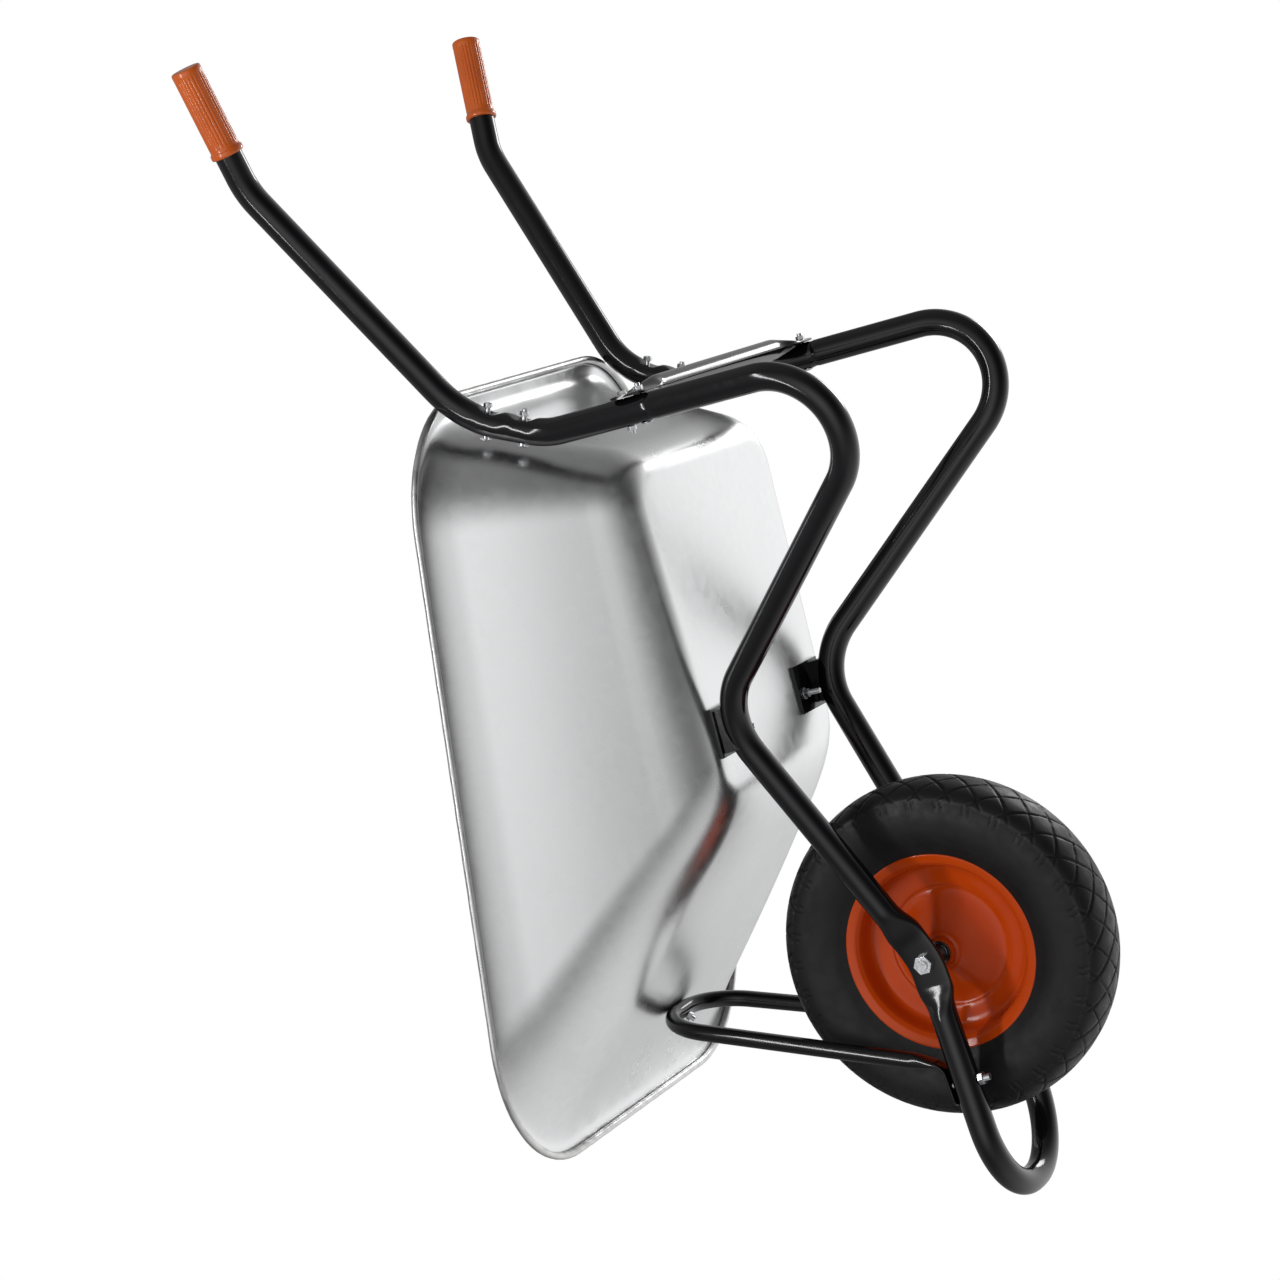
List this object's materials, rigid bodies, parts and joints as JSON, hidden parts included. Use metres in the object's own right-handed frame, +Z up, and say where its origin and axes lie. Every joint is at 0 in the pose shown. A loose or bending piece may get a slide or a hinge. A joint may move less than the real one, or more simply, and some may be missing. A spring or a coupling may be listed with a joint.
{
  "type": "wheelbarrow",
  "caption": "Single-wheel barrow with a pressed steel tray on a bent tube frame, hoop bumper ahead of a pneumatic tyre, and capped grips.",
  "frame": {"origin": "on the ground under the middle of the whole barrow's box, standing on its tyre and both legs", "axes": "+X forward to the wheel, +Y to the user's left, +Z up"},
  "size_m": [1.5347, 0.7088, 0.6661],
  "materials": {
    "frame_black": "gloss black powder coat",
    "tray_galvanised": "galvanised sheet, satin with soft spangle",
    "zinc_fasteners": "bright zinc plate",
    "rim_orange": "gloss orange powder coat",
    "grip_orange": "gloss orange moulding",
    "tyre_black": "matt black rubber",
    "inner_rubber": "matt butyl rubber",
    "valve_rubber": "matt black rubber",
    "valve_plastic": "matt black plastic",
    "spacer_steel": "dark satin coating",
    "bearing_steel": "ground bright steel"
  },
  "bodies": {
    "frame": {"main_frame_tube": "frame_black", "left_handle_tube": "frame_black", "right_handle_tube": "frame_black", "left_grip": "grip_orange", "right_grip": "grip_orange", "cross_brace": "frame_black", "front_brace": "frame_black", "left_tray_bracket": "frame_black", "right_tray_bracket": "frame_black", "tray": "tray_galvanised", "axle_bolt": "zinc_fasteners", "axle_nut": "zinc_fasteners", "left_axle_spacer": "spacer_steel", "right_axle_spacer": "spacer_steel", "rear_wall_bolts": "zinc_fasteners", "rear_wall_nuts": "zinc_fasteners", "sleeve_bolts": "zinc_fasteners", "sleeve_nuts": "zinc_fasteners", "cross_brace_bolts": "zinc_fasteners", "cross_brace_nuts": "zinc_fasteners", "bracket_bolts": "zinc_fasteners", "bracket_nuts": "zinc_fasteners", "bracket_washers": "zinc_fasteners", "brace_foot_bolts": "zinc_fasteners", "brace_foot_nuts": "zinc_fasteners", "brace_top_bolt": "zinc_fasteners", "brace_top_nut": "zinc_fasteners"},
    "wheel": {"tyre": "tyre_black", "inner_tube": "inner_rubber", "valve_stem": "valve_rubber", "valve_cap": "valve_plastic", "left_rim_half": "rim_orange", "right_rim_half": "rim_orange", "hub_tube": "rim_orange", "left_bearing": "bearing_steel", "right_bearing": "bearing_steel"}
  },
  "joints": [
    {"name": "wheel_spin", "type": "hinge", "parent": "frame", "child": "wheel", "pos_m": [0.46235, 0, 0.2], "axis": [0, 1, 0], "continuous": true}
  ]
}
